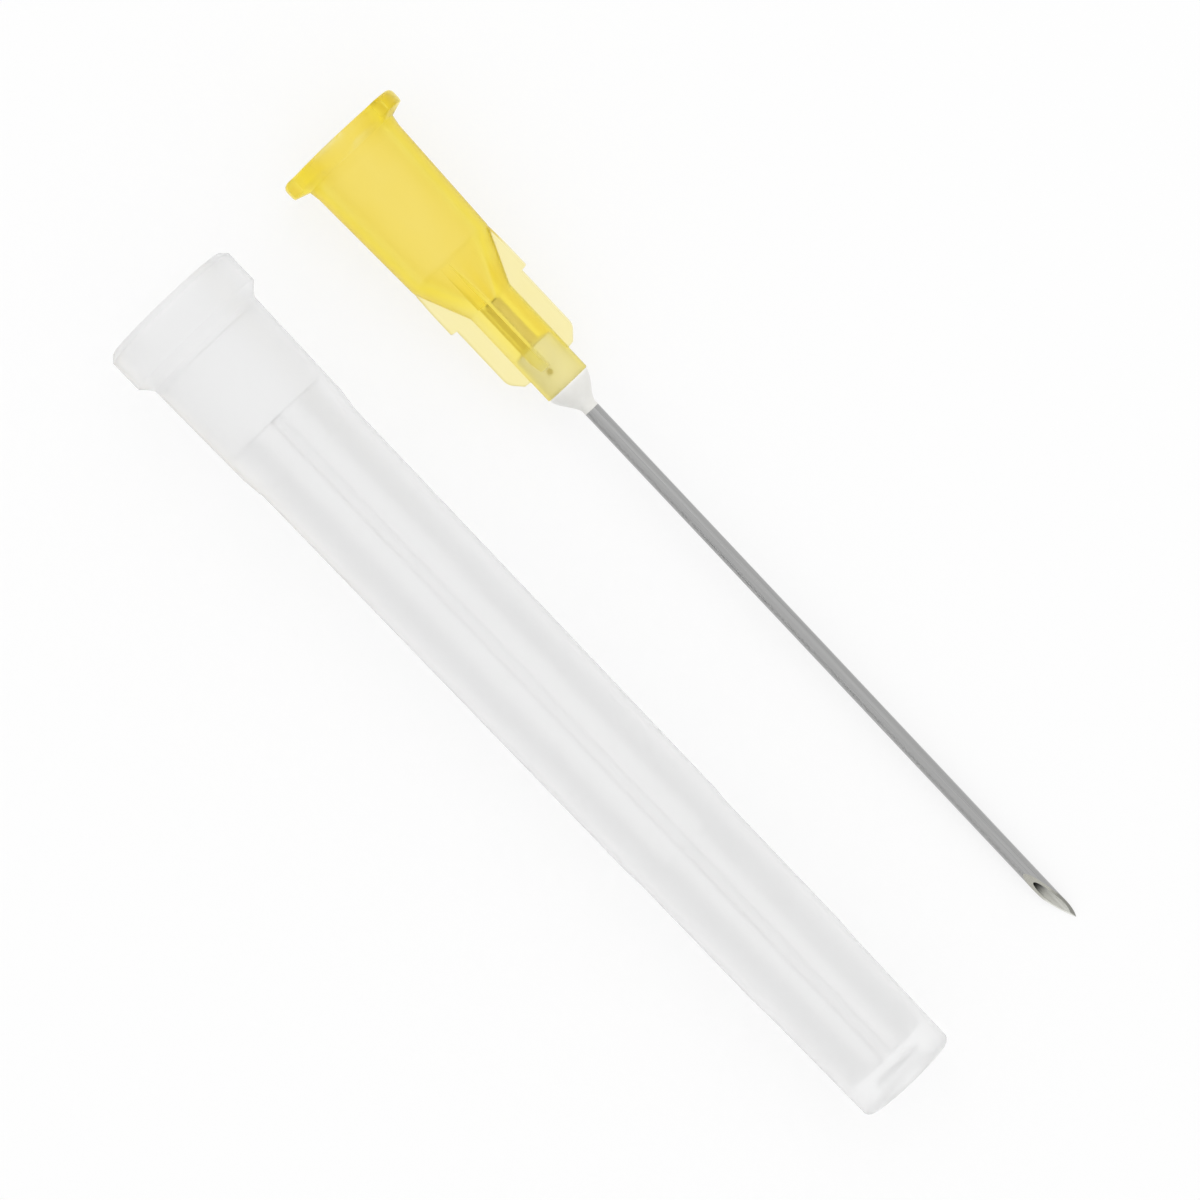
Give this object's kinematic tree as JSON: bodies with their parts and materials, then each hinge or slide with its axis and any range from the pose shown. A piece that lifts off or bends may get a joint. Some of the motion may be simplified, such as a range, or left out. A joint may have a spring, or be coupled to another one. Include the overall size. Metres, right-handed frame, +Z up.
{
  "type": "hypodermic needle",
  "caption": "Hypodermic needle with a finned yellow Luer hub, a bevelled steel cannula bonded in it, and its clear protective sheath lying beside it.",
  "frame": {"origin": "on the table, under the middle of the box around the needle and its sheath", "axes": "+X along the needle towards its point, +Z up, the sheath on the -Y side"},
  "size_m": [0.0578, 0.0208, 0.0085],
  "materials": {
    "hub_plastic": "moulded translucent yellow polypropylene",
    "cannula_steel": "drawn and ground stainless steel",
    "adhesive_epoxy": "cured milky epoxy",
    "sheath_plastic": "moulded natural translucent polypropylene"
  },
  "bodies": {
    "needle": {"hub": "hub_plastic", "cannula": "cannula_steel", "adhesive": "adhesive_epoxy"},
    "sheath": {"sheath": "sheath_plastic"}
  },
  "joints": [
    {"name": "sheath_slide", "type": "slide", "parent": "needle", "child": "sheath", "axis": [1, 0, 0], "range_m": [0, 0.0575]}
  ]
}
